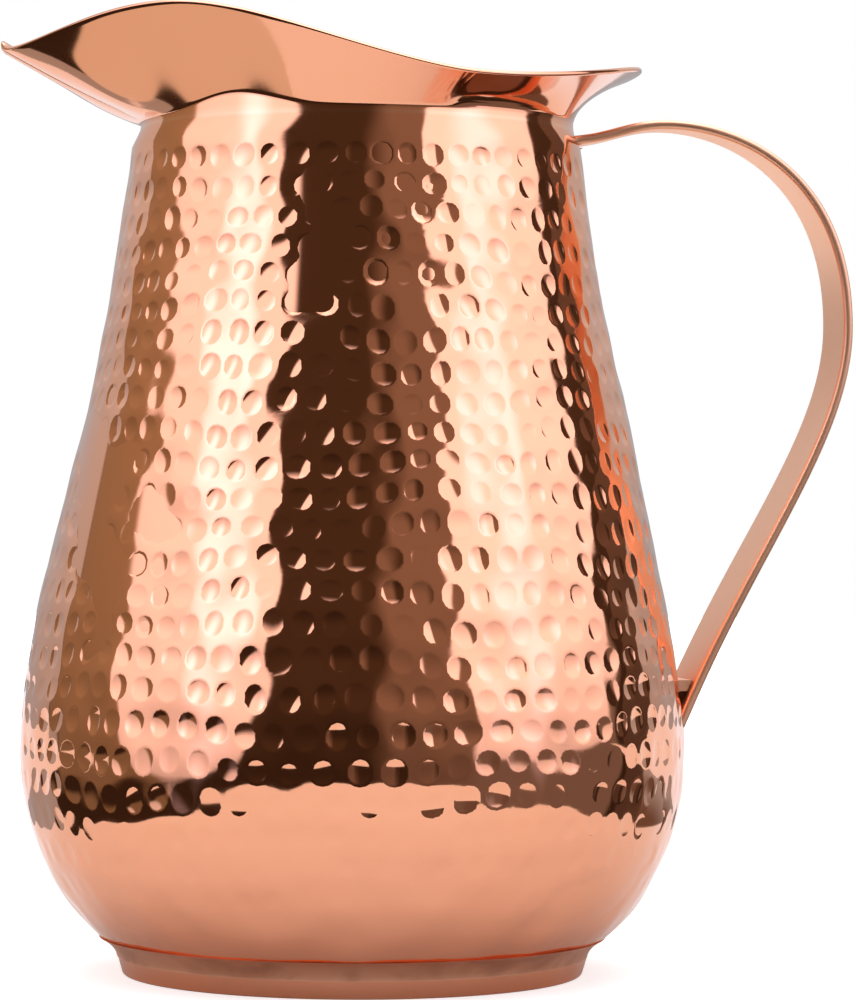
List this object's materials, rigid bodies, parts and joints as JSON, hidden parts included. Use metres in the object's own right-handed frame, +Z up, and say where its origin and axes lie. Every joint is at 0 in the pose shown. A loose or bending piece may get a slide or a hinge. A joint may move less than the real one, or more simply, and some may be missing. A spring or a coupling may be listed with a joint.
{
  "type": "water jug",
  "caption": "Hammered copper water jug with a flared pouring lip, a low foot ring and a flat strap handle.",
  "frame": {"origin": "the middle of the jug's bounding box, on the surface it stands on; the body's own axis is at x = -0.01585 m", "axes": "+Z up, +X from the spout towards the handle, Y = 0 the plane that cuts spout and handle in half"},
  "size_m": [0.1878, 0.145, 0.2071],
  "materials": {
    "hammered_copper": "bright polished copper, planished with rows of round hammer marks",
    "polished_copper": "bright polished plain copper",
    "satin_copper": "satin brushed copper",
    "braze_metal": "dark coppery braze"
  },
  "bodies": {
    "root": {"hammered_body": "hammered_copper", "spout_collar": "polished_copper", "collar_seam": "braze_metal", "foot_ring": "polished_copper", "foot_seam": "braze_metal", "base_plate": "polished_copper", "handle_strap": "satin_copper", "handle_upper_braze": "braze_metal", "handle_lower_braze": "braze_metal"}
  },
  "joints": []
}
